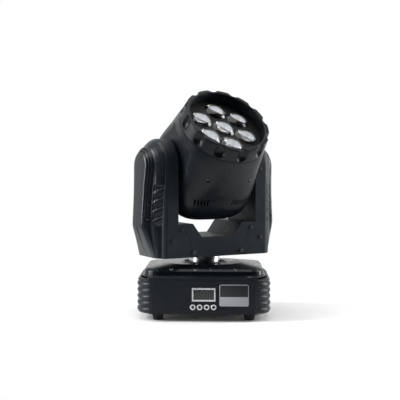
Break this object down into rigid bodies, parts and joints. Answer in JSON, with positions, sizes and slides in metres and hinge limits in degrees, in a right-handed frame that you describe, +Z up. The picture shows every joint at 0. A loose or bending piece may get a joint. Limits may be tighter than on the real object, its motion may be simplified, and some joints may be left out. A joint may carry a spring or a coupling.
{
  "type": "moving head light",
  "caption": "Compact moving head stage light: a ribbed base with display and sockets, a panning yoke and a tilting head with a ring of lenses behind a scalloped bezel.",
  "frame": {"origin": "centre of the bracket holes on the underside of the base, on the pan axis; the feet reach 10.5 mm below it", "axes": "+Z up along the pan axis, -Y out of the display side of the base, +X to the right of someone who looks at the display"},
  "size_m": [0.2046, 0.1885, 0.3195],
  "materials": {
    "casing": "satin moulded black plastic",
    "casing_light": "satin black plastic plates",
    "base_shell": "satin moulded black plastic",
    "panel": "fine matt black",
    "sheet_steel": "zinc plated",
    "black_steel": "black powder coat",
    "polished_metal": "polished",
    "screw_metal": "plated",
    "black_screw": "blackened",
    "rubber": "matt",
    "frame_silver": "silver",
    "ring_white": "printed white",
    "display": "smoked window",
    "label": "two-tone blank plate",
    "socket": "moulded insulator",
    "contact": "plated contacts",
    "button": "button cap",
    "circuit": "circuit board",
    "psu": "sheet case",
    "motor": "black motor stack",
    "belt": "toothed belt",
    "bearing": "ground ring",
    "pulley": "machined",
    "lens_black": "matt black",
    "lens_clear": "clear moulded lens",
    "led_white": "white solder mask",
    "heat_alu": "extruded",
    "fan_black": "moulded",
    "trunnion_steel": "turned"
  },
  "bodies": {
    "base": {"base_body": "base_shell", "base_top_cover": "base_shell", "floor_plate": "black_steel", "rubber_feet": "rubber", "base_screws": "screw_metal", "front_panel": "panel", "display_frame": "frame_silver", "display_window": "display", "button_rings": "ring_white", "label_plate": "label", "microphone": "socket", "rear_panel": "black_steel", "power_inlet": "socket", "fuse_holder": "socket", "dmx_in_socket": "socket", "dmx_out_socket": "socket", "socket_contacts": "contact", "power_supply": "psu", "control_board": "circuit", "pan_bearing_plate": "sheet_steel", "pan_bearing": "bearing", "neck_collar": "polished_metal", "pan_motor": "motor", "pan_belt": "belt"},
    "yoke": {"pan_shaft": "polished_metal", "pan_pulley": "pulley", "yoke_frame": "sheet_steel", "crossbar_front_cover": "casing_light", "crossbar_rear_cover": "casing_light", "crossbar_tray": "casing_light", "left_arm_frame": "casing_light", "right_arm_frame": "casing_light", "left_arm_cover": "casing", "right_arm_cover": "casing", "hub_rings": "casing", "yoke_screws": "black_screw", "tilt_motor": "motor", "tilt_belt": "belt", "tilt_bearings": "bearing", "driver_board": "circuit"},
    "head": {"head_front_shell": "casing", "head_rear_shell": "casing", "front_bezel": "casing", "lens_plate": "lens_black", "lenses": "lens_clear", "lens_holders": "lens_black", "led_board": "led_white", "heat_sink": "heat_alu", "fan_frame": "fan_black", "head_frame": "sheet_steel", "trunnions": "trunnion_steel", "tilt_pulley": "pulley", "head_screws": "black_screw"},
    "push_button_1": {"button_1": "button"},
    "push_button_2": {"button_2": "button"},
    "push_button_3": {"button_3": "button"},
    "push_button_4": {"button_4": "button"},
    "pan_pinion": {"pan_motor_pulley": "pulley"},
    "tilt_pinion": {"tilt_motor_pulley": "pulley"},
    "fan": {"fan_rotor": "fan_black"}
  },
  "joints": [
    {"name": "pan", "type": "hinge", "parent": "base", "child": "yoke", "pos_m": [0, 0, 0], "axis": [0, 0, 1], "range_deg": [-300, 240]},
    {"name": "tilt", "type": "hinge", "parent": "yoke", "child": "head", "pos_m": [0, 0, 0.2009], "axis": [-0.866, -0.5, 0], "range_deg": [-59.6, 150.4]},
    {"name": "pan_motor_turn", "type": "hinge", "parent": "base", "child": "pan_pinion", "pos_m": [0.058, 0, 0.034], "axis": [0, 0, 1], "range_deg": [-1500, 1200]},
    {"name": "tilt_motor_turn", "type": "hinge", "parent": "yoke", "child": "tilt_pinion", "pos_m": [0, 0, 0.118], "axis": [-0.866, -0.5, 0], "range_deg": [-238.4, 601.6]},
    {"name": "fan_spin", "type": "hinge", "parent": "head", "child": "fan", "pos_m": [0, 0, 0.2009], "axis": [0.356, -0.6166, 0.7022], "continuous": true},
    {"name": "press_button_1", "type": "slide", "parent": "base", "child": "push_button_1", "axis": [0, 1, 0], "range_m": [0, 0.0005], "stiffness_N_per_m": 400},
    {"name": "press_button_2", "type": "slide", "parent": "base", "child": "push_button_2", "axis": [0, 1, 0], "range_m": [0, 0.0005], "stiffness_N_per_m": 400},
    {"name": "press_button_3", "type": "slide", "parent": "base", "child": "push_button_3", "axis": [0, 1, 0], "range_m": [0, 0.0005], "stiffness_N_per_m": 400},
    {"name": "press_button_4", "type": "slide", "parent": "base", "child": "push_button_4", "axis": [0, 1, 0], "range_m": [0, 0.0005], "stiffness_N_per_m": 400}
  ],
  "couplings": [
    {"joint": "pan_motor_turn", "follows": "pan", "ratio": 5},
    {"joint": "tilt_motor_turn", "follows": "tilt", "ratio": 4}
  ]
}
